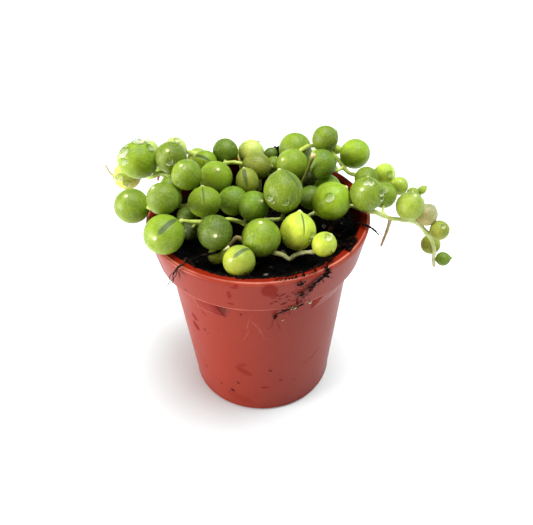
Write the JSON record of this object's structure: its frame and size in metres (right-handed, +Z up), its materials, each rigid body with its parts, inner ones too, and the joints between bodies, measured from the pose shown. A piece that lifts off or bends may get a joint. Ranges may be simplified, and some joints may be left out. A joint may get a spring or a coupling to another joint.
{
  "type": "potted string of pearls",
  "caption": "Small round terracotta-coloured plastic nursery pot filled with dark peat, with trailing stems of round pointed pearl-like leaves over its rim.",
  "frame": {"origin": "centre of the pot's flat underside, where it rests", "axes": "+Z up; -Y towards the side from which the plant is seen; +X to the right as seen from there, along the longest overhang of stems"},
  "size_m": [0.089, 0.063, 0.068],
  "materials": {
    "terracotta_plastic": "orange-red polypropylene with a soft sheen",
    "peat": "matt, near-black damp peat (fabric stands in for soil)",
    "dry_root": "matt, dry and dark",
    "pale_stem": "satin, pale green",
    "green_leaf": "satin succulent skin, mid green (plastic stands in for leaf)",
    "lime_leaf": "satin succulent skin, lime green (plastic stands in for leaf)",
    "dark_leaf": "satin succulent skin, dark green (plastic stands in for leaf)"
  },
  "bodies": {
    "root": {"pot": "terracotta_plastic", "soil": "peat", "dry_root_left": "dry_root", "dry_root_right": "dry_root", "cut_stem": "pale_stem", "left_front_strand": "green_leaf", "left_strand": "green_leaf", "left_upper_strand": "lime_leaf", "back_left_strand": "green_leaf", "back_middle_strand": "dark_leaf", "centre_strand": "green_leaf", "front_strand": "lime_leaf", "right_upper_strand": "green_leaf", "right_lower_strand": "green_leaf", "right_under_strand": "dark_leaf", "back_left_trailing_strand": "green_leaf", "back_trailing_strand": "green_leaf", "back_right_trailing_strand": "green_leaf"}
  },
  "joints": []
}
